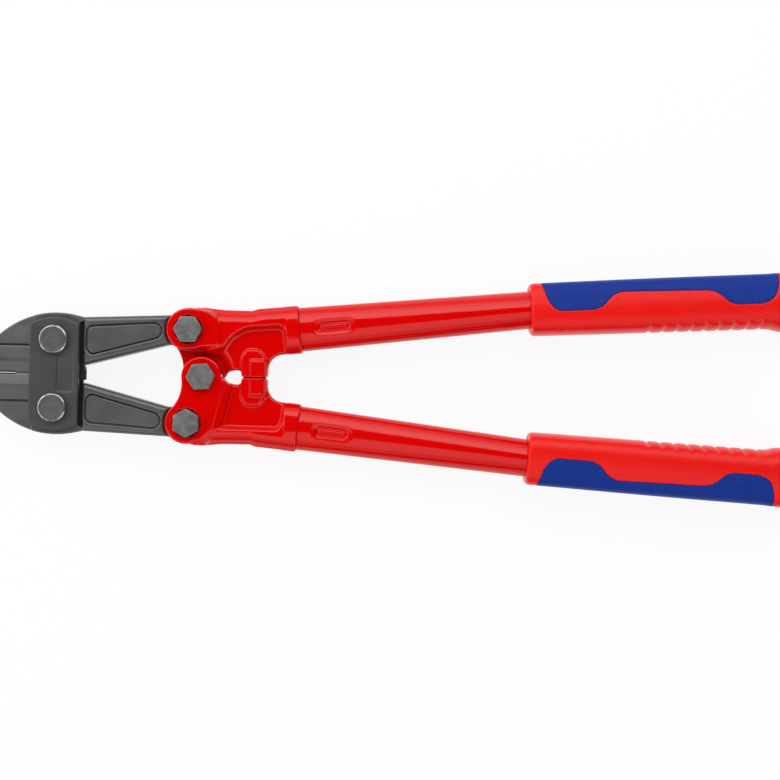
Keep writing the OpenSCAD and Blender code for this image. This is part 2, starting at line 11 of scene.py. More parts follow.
import bpy
import numpy as np
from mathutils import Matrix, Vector


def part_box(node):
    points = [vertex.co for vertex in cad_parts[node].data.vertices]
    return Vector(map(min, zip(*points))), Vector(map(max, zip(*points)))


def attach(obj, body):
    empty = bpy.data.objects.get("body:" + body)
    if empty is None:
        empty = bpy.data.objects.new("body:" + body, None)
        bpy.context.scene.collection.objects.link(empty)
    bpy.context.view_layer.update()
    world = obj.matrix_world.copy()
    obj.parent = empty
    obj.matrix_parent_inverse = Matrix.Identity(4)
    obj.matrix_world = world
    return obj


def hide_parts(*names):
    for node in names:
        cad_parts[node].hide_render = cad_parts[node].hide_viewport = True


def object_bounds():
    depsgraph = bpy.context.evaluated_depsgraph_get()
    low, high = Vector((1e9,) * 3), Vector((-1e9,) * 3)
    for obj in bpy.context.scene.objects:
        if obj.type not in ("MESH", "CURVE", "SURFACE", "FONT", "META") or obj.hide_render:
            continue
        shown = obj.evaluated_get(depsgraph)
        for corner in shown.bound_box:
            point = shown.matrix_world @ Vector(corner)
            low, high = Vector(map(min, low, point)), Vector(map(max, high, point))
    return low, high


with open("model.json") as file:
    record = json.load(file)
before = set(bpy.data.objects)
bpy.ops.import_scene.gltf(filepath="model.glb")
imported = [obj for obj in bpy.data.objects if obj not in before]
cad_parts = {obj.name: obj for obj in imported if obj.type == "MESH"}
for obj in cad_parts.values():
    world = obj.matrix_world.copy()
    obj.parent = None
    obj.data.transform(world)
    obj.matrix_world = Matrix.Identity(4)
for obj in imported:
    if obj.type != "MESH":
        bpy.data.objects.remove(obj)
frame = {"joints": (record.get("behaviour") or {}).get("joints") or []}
cad_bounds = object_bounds()

MM = 0.001
COARSER = 1.0

# ---- Main places, from the frame ----


def joint_place(name):
    """Where a joint lies in the row frame."""
    return next(np.array(j["pos_m"]) for j in frame["joints"] if j["name"] == name)


def box_middle(node):
    low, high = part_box(node)
    return (np.array(low) + np.array(high)) / 2


upper_hinge = joint_place("upper_blade_hinge")
TOOL_ORIGIN = np.array([box_middle("handle_pivot_washer")[0], 0.0, upper_hinge[2]])


def span(node, axis):
    """Lowest and highest coordinate of a CAD node in the tool frame."""
    low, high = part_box(node)
    return ((low[axis] - TOOL_ORIGIN[axis]) / MM, (high[axis] - TOOL_ORIGIN[axis]) / MM)


def in_tool(place):
    """X and Y of a place of the row frame, in the tool frame."""
    return (np.array(place) - TOOL_ORIGIN)[:2] / MM


def unit(degrees):
    """The direction at an angle from X, in the plane."""
    return np.array([math.cos(math.radians(degrees)), math.sin(math.radians(degrees))])


link_pivot = in_tool(upper_hinge)
pin = in_tool(joint_place("handle_opening"))
adjust_axis = in_tool(box_middle("upper_eccentric_nut"))
rest_z = -span("upper_grip_shell", 2)[0]
tip_x = span("upper_blade", 0)[0]
plate_in_z, plate_out_z = span("front_link_plate", 2)
plate_left_x, plate_right_x = span("front_link_plate", 0)
plate_top_y = span("front_link_plate", 1)[1]
cheek_in_z = plate_in_z
cheek_out_z = span("upper_handle_head", 2)[1]
arm_z = span("upper_blade", 2)[1]
blade_z = plate_in_z - 0.2
head_top_z = span("upper_eccentric_bolt", 2)[1]
grip_end_x = span("upper_grip_shell", 0)[1]
edge_y = -span("lower_blade", 1)[1]
link_shank_r, eccentric_shank_r, pivot_shank_r = 5.0, 4.5, 5.0
bore_fit = 0.05

# ---- Distance fields on a grid of points ----


class Grid:
    """A block of the tool frame, sampled at even steps. Fields of x and y alone are one layer."""

    def __init__(self, low, high, step):
        steps = np.broadcast_to(step, 3) * COARSER
        counts = [int(math.ceil((b - a) / s)) + 1 for a, b, s in zip(low, high, steps)]
        axes = [a + np.arange(n) * s for a, n, s in zip(low, counts, steps)]
        self.low, self.steps = np.array(low, float), steps
        self.x = axes[0].reshape(-1, 1, 1)
        self.y = axes[1].reshape(1, -1, 1)
        self.z = axes[2].reshape(1, 1, -1)

    def turned(self, centre, degrees):
        """Coordinates along and across a direction in the plane, from a centre."""
        along, across = unit(degrees), unit(degrees + 90)
        dx, dy = self.x - centre[0], self.y - centre[1]
        return dx * along[0] + dy * along[1], dx * across[0] + dy * across[1]


def circle(x, y, centre, r):
    return np.hypot(x - centre[0], y - centre[1]) - r


def stadium(x, y, length, width):
    """Signed distance to a bar with round ends, along x."""
    return np.hypot(np.maximum(np.abs(x) - (length - width) / 2, 0), y) - width / 2


def hexagon(x, y, flats):
    """Signed distance to a hexagon, from its width across flats."""
    return np.max([np.abs(x * unit(a)[0] + y * unit(a)[1]) for a in (30, 90, 150)], 0) - flats / 2


def half_plane(x, y, point, degrees):
    """Negative on the side that the direction points away from."""
    n = unit(degrees)
    return (x - point[0]) * n[0] + (y - point[1]) * n[1]


def polygon(x, y, points):
    """Signed distance to a closed outline, negative inside."""
    points = np.array(points, float)
    nearest = np.full(np.broadcast(x, y).shape, np.inf)
    inside = np.zeros(nearest.shape, bool)
    for a, b in zip(points, np.roll(points, -1, 0)):
        ex, ey = b - a
        px, py = x - a[0], y - a[1]
        share = np.clip((px * ex + py * ey) / (ex * ex + ey * ey), 0, 1)
        nearest = np.minimum(nearest, (px - share * ex) ** 2 + (py - share * ey) ** 2)
        if ey:
            inside ^= ((a[1] > y) != (b[1] > y)) & (px < ex * py / ey)
    return np.where(inside, -1, 1) * np.sqrt(nearest)


def softened(points, r, steps=5):
    """The outline with its corners rounded to r, or less where a side is short."""
    points = np.array(points, float)
    out = []
    for before, corner, after in zip(np.roll(points, 1, 0), points, np.roll(points, -1, 0)):
        a, b = before - corner, after - corner
        la, lb = np.linalg.norm(a), np.linalg.norm(b)
        a, b = a / la, b / lb
        half = math.acos(np.clip(a @ b, -1, 1)) / 2
        reach = min(r / max(math.tan(half), 1e-6), 0.45 * la, 0.45 * lb)
        for t in np.linspace(0, 1, steps):
            out.append(corner + a * reach * (1 - t) ** 2 + b * reach * t**2)
    return out


def oblong(x, y, x_ends, y_ends):
    """Signed distance to a rectangle between two x and two y values."""
    (x0, x1), (y0, y1) = x_ends, y_ends
    return np.maximum(np.abs(x - (x0 + x1) / 2) - (x1 - x0) / 2, np.abs(y - (y0 + y1) / 2) - (y1 - y0) / 2)


def join(a, b, fillet=0.0):
    """Both shapes as one, with a fillet between them."""
    if np.ndim(fillet) == 0 and not fillet:
        return np.minimum(a, b)
    h = np.maximum(fillet - np.abs(a - b), 0) / fillet
    return np.minimum(a, b) - h * h * fillet / 4


def common(a, b, fillet=0.0):
    """What lies in both shapes, with a rounded edge."""
    return -join(-a, -b, fillet)


def cut(a, b, fillet=0.0):
    """The first shape without the second, with a rounded edge."""
    return common(a, -b, fillet)


def layer(grid, flat, z0, z1, edge=0.0):
    """A flat shape made thick from z0 to z1, with its edges rounded. Heights may vary."""
    middle, half = (z0 + z1) / 2, (z1 - z0) / 2
    side, level = flat + edge, np.abs(grid.z - middle) - half + edge
    outside = np.hypot(np.maximum(side, 0), np.maximum(level, 0))
    return outside + np.minimum(np.maximum(side, level), 0) - edge


CORNERS = [(i, j, k) for i in (0, 1) for j in (0, 1) for k in (0, 1)]


def skin(grid, field):
    """Points and quads of the surface where the field is zero, by surface nets."""
    inside = field < 0
    shape = tuple(n - 1 for n in field.shape)
    filled = sum(
        inside[i : i + shape[0], j : j + shape[1], k : k + shape[2]].astype(np.int8)
        for i, j, k in CORNERS
    )
    cells = np.argwhere((filled > 0) & (filled < 8))
    place, crossings = np.zeros((len(cells), 3)), np.zeros(len(cells))
    for corner in CORNERS:
        for axis in (n for n in range(3) if not corner[n]):
            other = np.array(corner)
            other[axis] = 1
            fa, fb = field[tuple((cells + corner).T)], field[tuple((cells + other).T)]
            crossed = (fa < 0) != (fb < 0)
            place += crossed[:, None] * np.array(corner)
            place[:, axis] += np.where(crossed, fa / np.where(crossed, fa - fb, 1), 0)
            crossings += crossed
    points = grid.low + (cells + place / crossings[:, None]) * grid.steps
    number = np.full(shape, -1)
    number[tuple(cells.T)] = np.arange(len(cells))
    quads = []
    for axis in range(3):
        u, v = (axis + 1) % 3, (axis + 2) % 3
        here = np.take(inside, np.arange(field.shape[axis] - 1), axis)
        there = np.take(inside, np.arange(1, field.shape[axis]), axis)
        edges = np.argwhere(here != there)
        leaves = here[tuple(edges.T)]
        ring = []
        for du, dv in ((0, 0), (1, 0), (1, 1), (0, 1)):
            cell = edges.copy()
            cell[:, u] -= du
            cell[:, v] -= dv
            ring.append(number[tuple(cell.T)])
        ring = np.array(ring).T
        ring[~leaves] = ring[~leaves][:, ::-1]
        quads.append(ring)
    return points, np.concatenate(quads)


# ---- Pieces ----


def piece(node, body, slot, material, points, faces, face_material=None):
    """One visible piece that stands for a CAD node, from points in the tool frame."""
    mesh = bpy.data.meshes.new(node + "_finished")
    points, faces = np.asarray(points, float), np.asarray(faces)
    mesh.vertices.add(len(points))
    mesh.vertices.foreach_set("co", (points * MM + TOOL_ORIGIN).astype(np.float32).ravel())
    size = faces.shape[1]
    mesh.loops.add(faces.size)
    mesh.loops.foreach_set("vertex_index", faces.astype(np.int32).ravel())
    mesh.polygons.add(len(faces))
    mesh.polygons.foreach_set("loop_start", np.arange(0, faces.size, size, dtype=np.int32))
    mesh.polygons.foreach_set("use_smooth", np.ones(len(faces), bool))
    for m in material if isinstance(material, (list, tuple)) else [material]:
        mesh.materials.append(m)
    if face_material is not None:
        mesh.polygons.foreach_set("material_index", np.asarray(face_material, np.int32))
    mesh.update(calc_edges=True)
    mesh.validate()
    obj = bpy.data.objects.new(mesh.name, mesh)
    bpy.context.scene.collection.objects.link(obj)
    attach(obj, body)
    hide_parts(node)
    return obj


def as_made(points, faces):
    """A piece as it is drawn, on the upper side."""
    return points, faces


def mirrored(points, faces):
    """The same piece on the other side of the XZ plane."""
    return points * [1, -1, 1], faces[:, ::-1]


def turned_over(points, faces):
    """The same piece turned half round about X."""
    return points * [1, -1, -1], faces


def moved(points, faces, offset):
    """The same piece moved in the plane."""
    return points + [offset[0], offset[1], 0], faces


SIDES = (("upper", as_made), ("lower", mirrored))

# ---- Materials ----


def new_material(name):
    """A material, its nodes and links, and its shader."""
    material = bpy.data.materials.new(name)
    material.use_nodes = True
    nodes, links = material.node_tree.nodes, material.node_tree.links
    return material, nodes, links, nodes["Principled BSDF"]


def noise(nodes, links, scale, detail=3.0):
    """Noise in the row frame. The scale is in lumps per metre."""
    texture = nodes.new("ShaderNodeTexNoise")
    texture.inputs["Scale"].default_value = scale
    texture.inputs["Detail"].default_value = detail
    links.new(nodes.new("ShaderNodeTexCoord").outputs["Object"], texture.inputs["Vector"])
    return texture.outputs["Fac"]


def ramp(nodes, links, source, stops):
    """Turns a value into greys or colours, through stops of (value, grey or colour)."""
    node = nodes.new("ShaderNodeValToRGB")
    links.new(source, node.inputs["Fac"])
    for n, (at, value) in enumerate(stops):
        element = node.color_ramp.elements[n] if n < 2 else node.color_ramp.elements.new(at)
        element.position = at
        element.color = (*value, 1) if hasattr(value, "__len__") else (value, value, value, 1)
    return node.outputs["Color"]


def mix(nodes, links, kind, factor, a, b):
    """Mixes two colours, each a socket or three numbers."""
    node = nodes.new("ShaderNodeMix")
    node.data_type = "RGBA"
    node.blend_type = kind
    for socket, value in (("Factor", factor), ("A", a), ("B", b)):
        sockets = [s for s in node.inputs if s.name == socket and s.enabled]
        target = sockets[0] if socket == "Factor" else sockets[-1]
        if isinstance(value, bpy.types.NodeSocket):
            links.new(value, target)
        elif socket == "Factor":
            target.default_value = value
        else:
            target.default_value = (*value, 1)
    return next(o for o in node.outputs if o.name == "Result" and o.enabled)


def bump(nodes, links, shader, layers):
    """Adds fine relief: each layer is a height source and its depth in millimetres."""
    normal = None
    for height, depth in layers:
        node = nodes.new("ShaderNodeBump")
        node.inputs["Strength"].default_value = 1
        node.inputs["Distance"].default_value = depth * MM
        links.new(height, node.inputs["Height"])
        if normal:
            links.new(normal, node.inputs["Normal"])
        normal = node.outputs["Normal"]
    links.new(normal, shader.inputs["Normal"])


def tinted(color, factor):
    """The colour made lighter or darker."""
    return tuple(min(1, c * factor) for c in color)


# Pointiness over which sharp edges fade into the painted edge highlight.
EDGE_HIGHLIGHT_FROM, EDGE_HIGHLIGHT_FULLY = 0.53, 0.6


def finish(name, color, roughness, metallic, lumps, fine, relief, specular=0.5, edge_highlight=None):
    """A surface with slow and fine colour variation, uneven gloss, relief and a painted highlight on sharp
    edges.

    lumps and fine are each (lumps per metre, strength), relief lists (lumps per metre, depth
    in millimetres), and the last one is the lighter colour painted on sharp edges as a highlight.
    """
    material, nodes, links, shader = new_material(name)
    shader.inputs["Metallic"].default_value = metallic
    shader.inputs["Specular IOR Level"].default_value = specular
    slow = noise(nodes, links, lumps[0])
    dark, light = tinted(color, 1 - lumps[1]), tinted(color, 1 + lumps[1])
    base = ramp(nodes, links, slow, [(0.3, dark), (0.7, light)])
    grain = ramp(nodes, links, noise(nodes, links, fine[0], 2), [(0.35, 1 - fine[1]), (0.65, 1.0)])
    base = mix(nodes, links, "MULTIPLY", 1.0, base, grain)
    # Sharp edges are painted lighter: a painted highlight.
    if edge_highlight:
        edges = nodes.new("ShaderNodeNewGeometry").outputs["Pointiness"]
        share = ramp(nodes, links, edges, [(EDGE_HIGHLIGHT_FROM, 0.0), (EDGE_HIGHLIGHT_FULLY, 1.0)])
        base = mix(nodes, links, "MIX", share, base, edge_highlight)
    links.new(base, shader.inputs["Base Color"])
    gloss = ramp(nodes, links, slow, [(0.3, roughness * 0.9), (0.7, roughness * 1.1)])
    links.new(gloss, shader.inputs["Roughness"])
    bump(nodes, links, shader, [(noise(nodes, links, scale, 2), depth) for scale, depth in relief])
    return material


red_paint = finish(
    "red_powder_coat", (0.655, 0.0006, 0.0004), 0.11, 0, (60, 0.02), (900, 0.03), [(420, 0.008)], 0.36
)
red_grip = finish(
    "red_grip_shell", (0.785, 0.0085, 0.0065), 0.28, 0, (50, 0.02), (1800, 0.04), [(3200, 0.01)], 0.2
)
blue_grip = finish(
    "blue_soft_grip", (0.0012, 0.027, 0.255), 0.5, 0, (70, 0.05), (1500, 0.1), [(1500, 0.03)], 0.16
)
stippled_grip = finish(
    "stippled_soft_grip", (0.0014, 0.031, 0.285), 0.45, 0, (70, 0.05), (850, 0.4), [(700, 0.3)], 0.2
)
# The jaw steel carries a lighter painted highlight on sharp edges.
jaw_steel = finish(
    "phosphated_jaw_steel", (0.128, 0.128, 0.128), 0.38, 0.75, (80, 0.07), (2400, 0.12),
    [(1500, 0.012), (300, 0.02)], edge_highlight=(0.17, 0.17, 0.17),
)
# Near-black steel painted into the blades' fine groove, trench and tongue slot as painted shade.
groove_shade_steel = finish(
    "painted_groove_shade", (0.028, 0.028, 0.028), 0.7, 0.2, (80, 0.1), (2000, 0.2), [(1500, 0.02)], 0.2
)
# A less dark steel painted into the groove round each arm panel as painted shade.
ring_shade_steel = finish(
    "painted_ring_shade", (0.055, 0.055, 0.055), 0.6, 0.4, (80, 0.1), (2000, 0.2), [(1500, 0.02)], 0.3
)
# The plate steel carries a lighter painted highlight on sharp edges.
plate_steel = finish(
    "phosphated_plate_steel", (0.078, 0.078, 0.078), 0.45, 0.6, (60, 0.06), (2000, 0.12),
    [(1200, 0.015), (260, 0.03)], edge_highlight=(0.12, 0.12, 0.12),
)
head_steel = finish(
    "round_head_steel", (0.125, 0.125, 0.125), 0.42, 0.6, (260, 0.14), (2600, 0.12), [(900, 0.015)]
)
bright_steel = finish(
    "turned_edge_steel", (0.5, 0.5, 0.48), 0.3, 1.0, (420, 0.6), (4000, 0.3), [(1800, 0.03)]
)
# The bolt steel carries a lighter painted highlight on sharp edges.
bolt_steel = finish(
    "zinc_bolt_steel", (0.19, 0.193, 0.188), 0.42, 0.6, (300, 0.26), (2600, 0.14),
    [(1400, 0.02)], edge_highlight=(0.27, 0.27, 0.26),
)
nylon = finish("nylon", (0.6, 0.6, 0.54), 0.5, 0, (200, 0.05), (1500, 0.05), [(1500, 0.02)])

# ---- Blades ----

jaw_back_r = 48.3
jaw_back_drop = 14.1
eye_r = 9.5
journal_r = 6.0
boss_r = 11.9
shoulder_x = link_pivot[0] + 15.7
heel_relief_angle = 7.9
jaw_back = np.array([tip_x + math.sqrt(jaw_back_r**2 - (jaw_back_drop + 0.15) ** 2), -jaw_back_drop])
arm_outer_left = jaw_back[1] + math.sqrt(jaw_back_r**2 - (shoulder_x - jaw_back[0]) ** 2)
arm_inner_left = 5.0
arm_outer_right = pin[1] + eye_r - 1.8
arm_inner_right = pin[1] - eye_r + 0.9
arm_end_x = pin[0] - 11
arm_rim = 4.2
grind_width = 15.6
edge_length = 21.5
heel_closing = 0.145
groove_z = 3.3
panel_depth, panel_groove_depth = 0.9, 1.9
tongue_length = 6.0
tongue_z = 2.4
trench_x = (plate_right_x + shoulder_x) / 2


def arm_outline():
    """The arm from above, with the eye that its pin goes through."""
    return [
        (shoulder_x, arm_inner_left),
        (shoulder_x, arm_outer_left),
        (arm_end_x, arm_outer_right),
        pin + eye_r * unit(105),
        pin - [0, eye_r],
        (arm_end_x, arm_inner_right),
    ]


def arm_panel():
    """The bare recessed panel in each face of the arm."""
    end_r = 4.9
    end_x = pin[0] - boss_r - arm_rim - end_r + 1.8
    end = np.array([end_x, (arm_outer_right + arm_inner_right) / 2 - 0.6])
    left = shoulder_x + 1.3
    top, bottom = arm_outer_left - arm_rim, arm_inner_left + arm_rim * 1.35
    round_end = [end + end_r * unit(a) for a in range(-75, 91, 15)]
    corners = [(left + 2.5, top), (left, top - 2.5), (left, bottom + 3), (left + 3.5, bottom)]
    return softened(round_end + corners, 2.0)


def jaw_field(grid):
    """The jaw: two ground faces that fall to both sides of a ridge, and its round back."""
    x, y = grid.x, grid.y
    # The cutting edges close up towards the heel
    closing = np.clip((x - tip_x - edge_length) / 2, 0, 1)
    edge = edge_y - heel_closing * closing
    heel = half_plane(x, y, (link_pivot[0], edge_y), heel_relief_angle - 90)
    flat = np.maximum(circle(x, y, jaw_back, jaw_back_r), x - shoulder_x)
    flat = np.maximum(flat, np.where(x > link_pivot[0], heel, edge - y))
    # From the edge over the ridge to the fine groove, and on to the back
    bevels = np.interp(
        y,
        [0.1, 0.9, 6.4, 8.2, grind_width - 0.6, grind_width, grind_width + 0.5, 33],
        [0.8, 3.5, 4.4, 4.42, 3.75, groove_z, 4.1, 2.8],
    )
    height = np.where(x < plate_left_x + 1.2, np.maximum(bevels, groove_z * closing), blade_z)
    return layer(grid, flat, -height, height, 0.45)


def arm_field(grid):
    """The arm, with a hollow end round the handle's boss and a grooved panel in each face."""
    x, y = grid.x, grid.y
    flat = polygon(x, y, softened(arm_outline(), 1.5))
    flat = common(flat, -circle(x, y, pin, boss_r + 0.6), 0.8)
    arm = layer(grid, flat, -arm_z, arm_z, 2.4)
    panel = polygon(x, y, arm_panel())
    depth = arm_z - np.abs(grid.z)
    arm = cut(arm, np.maximum(panel, depth - panel_depth - 0.045 * (y - 20)), 0.4)
    return cut(arm, np.maximum(np.abs(panel + 0.5) - 0.4, depth - panel_groove_depth), 0.2)


def painted_shade_of(points, faces):
    """Which material of a blade each face has: plain, painted shade in the fine groove, the trench and the
    tongue's slot, or a lighter painted shade in the groove round a panel.
    """
    x, y, z = points[faces].mean(1).T
    z = np.abs(z)
    # These masks pick the faces that get painted shade.
    line = (np.abs(y - grind_width) < 0.6) & (x < plate_left_x + 1) & (z > 3) & (z < blade_z - 0.2)
    trench = (np.abs(x - trench_x) < 1.6) & (x < shoulder_x + 0.1) & (np.abs(y) < arm_outer_left - 2.6)
    slot = (y < 2.5) & (x > shoulder_x - 3) & (z < tongue_z + 0.1)
    ring = (np.abs(polygon(x, y, arm_panel()) + 0.5) < 0.55) & (z > 3) & (z < arm_z - 1.2)
    return np.where(ring, 2, line | trench | slot)


def blade(tongue):
    """A forged jaw and arm, with the heel's tongue or the slot that it slides in."""
    grid = Grid((tip_x - 1, -3.5, -arm_z - 1), (2.5, 37.5, arm_z + 1), (0.5, 0.4, 0.4))
    x, y, z = grid.x, grid.y, grid.z
    neck = np.minimum(polygon(x, y, arm_outline()), circle(x, y, pin, eye_r))
    body = join(jaw_field(grid), arm_field(grid), 0.8)
    body = join(body, layer(grid, neck, -blade_z, blade_z, 0.5), 0.6)
    # The trench between the link plate and the shoulder, shallow at its outer end
    trench = np.abs(x - trench_x) - (shoulder_x - plate_right_x) / 2 + 0.1
    trench_z = blade_z - np.interp(y, [arm_outer_left - 3.4, arm_outer_left - 2.2], [2.2, 0.1])
    body = cut(body, np.maximum(np.maximum(trench, trench_z - np.abs(z)), 2.5 - y), 0.2)
    if tongue:
        tab = oblong(x, y, (shoulder_x - tongue_length, shoulder_x + 0.8), (-4.9, 4.1))
        body = join(body, layer(grid, tab, -tongue_z, tongue_z, 0.2))
    else:
        room = np.maximum(shoulder_x - tongue_length - 2 - x, y - 9.4)
        body = cut(body, np.maximum(np.maximum(room, x - shoulder_x - 0.3), np.abs(z) - tongue_z - 0.2))
    body = cut(body, circle(x, y, link_pivot, link_shank_r + bore_fit))
    body = cut(body, circle(x, y, pin, journal_r + bore_fit))
    return skin(grid, body)


for (side, flip), tongue in zip(SIDES, (True, False)):
    points, faces = blade(tongue)
    # The blade's fine groove, trench, slot and panel rings get painted shade materials.
    steels = [jaw_steel, groove_shade_steel, ring_shade_steel]
    painted_shade_index = painted_shade_of(points, faces)
    piece(f"{side}_blade", f"{side}_jaw", "forged_steel", steels, *flip(points, faces), painted_shade_index)

# ---- Link plates ----

plate_crown_r = 26.4
plate_half_width = (plate_right_x - plate_left_x) / 2


def link_plate():
    """A link plate with crowned ends, two bores and a bare sunken field on its face."""
    grid = Grid(
        (plate_left_x - 1, -plate_top_y - 1, plate_in_z - 1),
        (plate_right_x + 1, plate_top_y + 1, plate_out_z + 1),
        (0.4, 0.4, 0.35),
    )
    x, y = grid.x - link_pivot[0], grid.y
    crown = circle(x, np.abs(y), (0, plate_top_y - plate_crown_r), plate_crown_r)
    crown = np.where(np.abs(y) > plate_top_y - plate_crown_r, crown, -9)
    flat = common(crown, np.abs(x) - plate_half_width, 1.2)
    plate = layer(grid, flat, plate_in_z, plate_out_z, 0.6)
    field = polygon(x, y, softened([(1.6, -10.4), (10.8, -10.4), (10.8, 12.6), (1.6, 12.6)], 2))
    plate = cut(plate, np.maximum(field, plate_out_z - 0.45 - grid.z), 0.2)
    plate = cut(plate, circle(x, np.abs(y), (0, link_pivot[1]), link_shank_r + bore_fit))
    return skin(grid, plate)


piece("front_link_plate", "link_plates", "forged_steel", plate_steel, *link_plate())
piece("rear_link_plate", "link_plates", "forged_steel", plate_steel, *turned_over(*link_plate()))

# ---- Bolts and nuts ----

hex_flats = 14.1
bolt_end_z = -rest_z + 0.5
nut_collar = 1.6
ring_room_r = 6.0
SEGMENTS = 96


def lathe(profile):
    """A profile of (radius, height) points, turned about the Z axis."""
    angles = np.linspace(0, 2 * math.pi, SEGMENTS, endpoint=False)
    rings = [[(r * math.cos(a), r * math.sin(a), z) for a in angles] for r, z in profile]
    points = np.array(rings).reshape(-1, 3)
    faces = []
    for ring in range(len(profile) - 1):
        for n in range(SEGMENTS):
            a, b = ring * SEGMENTS + n, ring * SEGMENTS + (n + 1) % SEGMENTS
            faces.append((a + SEGMENTS, b + SEGMENTS, b, a))
    return points, np.array(faces)


def link_bolt():
    """A round head over the shank that its nut holds, and which faces are its turned edge."""
    r, top, chamfer, shank = 7.9, plate_out_z + 4, 0.75, link_shank_r
    profile = [(0.02, top - 0.08), (r - 2.4, top - 0.08), (r - chamfer - 0.25, top), (r - chamfer, top)]
    profile += [(r - 0.1, top - chamfer + 0.1), (r, top - chamfer - 0.1), (r, plate_out_z + 0.3)]
    profile += [(r - 0.25, plate_out_z), (shank, plate_out_z), (shank, bolt_end_z + 0.6)]
    profile += [(shank - 0.6, bolt_end_z), (0.02, bolt_end_z)]
    points, faces = lathe(profile)
    ring = np.arange(len(faces)) // SEGMENTS
    return points, faces, (ring >= 3) & (ring <= 4)


def hex_head(top, bottom, turn, shanks):
    """A hex head, chamfered on top, over stepped shanks of (radius, top, bottom, x offset)."""
    grid = Grid((-9, -9, bolt_end_z - 0.6), (9, 9, top + 0.6), 0.3)
    x, y = grid.turned((0, 0), turn)
    head = layer(grid, hexagon(x, y, hex_flats), bottom, top, 0.2)
    r = np.hypot(grid.x, grid.y)
    head = common(head, ((r - 7.35) * 0.5 + grid.z - top) * 0.89, 0.2)
    for radius, z1, z0, offset in shanks:
        head = join(head, layer(grid, circle(grid.x, grid.y, (offset, 0), radius), z0, z1, 0.3))
    return skin(grid, head)


def nut(seat_z, bore_r, turn=0):
    """A lock nut under a seat, with the round collar that holds its nylon ring."""
    grid = Grid((-9, -9, -rest_z - 0.6), (9, 9, -seat_z + 0.6), 0.3)
    x, y = grid.turned((0, 0), turn)
    collar_top = nut_collar - rest_z
    hexed = layer(grid, hexagon(x, y, hex_flats), collar_top, -seat_z, 0.15)
    r = np.hypot(grid.x, grid.y)
    hexed = common(hexed, ((r - 7.4) * 0.5 - (grid.z - collar_top)) * 0.89, 0.2)
    body = join(hexed, layer(grid, r - 6.9, -rest_z, -seat_z, 0.35), 0.5)
    body = cut(body, r - bore_r)
    body = cut(body, np.maximum(r - ring_room_r, grid.z - collar_top))
    return skin(grid, body)


def lock_ring(shank_r):
    """The nylon ring in a nut's collar."""
    inner, outer = shank_r + 0.03, ring_room_r - 0.02
    top, bottom = nut_collar - rest_z, 0.3 - rest_z
    profile = [(inner, top), (inner, bottom + 0.2), (inner + 0.2, bottom), (outer - 0.18, bottom)]
    return lathe(profile + [(outer, bottom + 0.15), (outer, top), (inner, top)])


def merged(*parts):
    """Several skins as one."""
    points, faces, count = [], [], 0
    for p, f in parts:
        points.append(p)
        faces.append(f + count)
        count += len(p)
    return np.concatenate(points), np.concatenate(faces)


bolt_points, bolt_faces, turned_edge = link_bolt()
round_head = moved(bolt_points, bolt_faces, link_pivot)
bolt_steels = [head_steel, bright_steel]
for side, flip in SIDES:
    points, faces = flip(*round_head)
    piece(f"{side}_link_bolt", "link_plates", "link_bolt_steel", bolt_steels, points, faces, turned_edge)
link_nut = moved(*nut(plate_out_z, link_shank_r + bore_fit), link_pivot)
for side, flip in SIDES:
    piece(f"{side}_link_nut", "link_plates", "bolt_steel", bolt_steel, *flip(*link_nut))
link_ring = moved(*lock_ring(link_shank_r), link_pivot)
piece("link_lock_rings", "link_plates", "nylon", nylon, *merged(link_ring, mirrored(*link_ring)))

socket_floor_z = cheek_out_z - 1.5
eccentric_shanks = [
    (eccentric_shank_r, 0.5, bolt_end_z, 0),
    (6.7, socket_floor_z + 0.5, cheek_in_z, 0),
    (journal_r, cheek_in_z + 0.5, -cheek_in_z, pin[0] - adjust_axis[0]),
]
for (side, flip), turn in zip(SIDES, (0, 30)):
    bolt = moved(*hex_head(head_top_z, socket_floor_z, turn, eccentric_shanks), adjust_axis)
    piece(f"{side}_eccentric_bolt", f"{side}_handle", "bolt_steel", bolt_steel, *flip(*bolt))
    held = moved(*nut(cheek_out_z, eccentric_shank_r + bore_fit), adjust_axis)
    piece(f"{side}_eccentric_nut", f"{side}_handle", "bolt_steel", bolt_steel, *flip(*held))
ring = moved(*lock_ring(eccentric_shank_r), adjust_axis)
lower_rings = merged(mirrored(*ring), lock_ring(pivot_shank_r))
piece("upper_lock_ring", "upper_handle", "nylon", nylon, *ring)
piece("lower_lock_rings", "lower_handle", "nylon", nylon, *lower_rings)

pivot_top_z = span("handle_pivot_bolt", 2)[1]
pivot_shank = (pivot_shank_r, cheek_out_z + 0.5, bolt_end_z, 0)
pivot_bolt = hex_head(pivot_top_z, cheek_out_z, 5, [pivot_shank])
piece("handle_pivot_bolt", "lower_handle", "bolt_steel", bolt_steel, *pivot_bolt)
washer_out_z, washer_in_z = span("handle_pivot_washer", 2)
washer_r, washer_edge = span("handle_pivot_washer", 1)[1], 0.2
pivot_bore_r = pivot_shank_r + bore_fit
washer = [(pivot_bore_r, washer_in_z), (pivot_bore_r, washer_out_z)]
washer += [(washer_r - washer_edge, washer_out_z), (washer_r, washer_out_z + washer_edge)]
washer += [(washer_r, washer_in_z - washer_edge), (washer_r - washer_edge, washer_in_z)]
washer += [(pivot_bore_r, washer_in_z)]
piece("handle_pivot_washer", "lower_handle", "bolt_steel", bolt_steel, *lathe(washer))
piece("handle_pivot_nut", "lower_handle", "bolt_steel", bolt_steel, *nut(-washer_out_z, pivot_bore_r, 8))

# ---- Handle heads ----

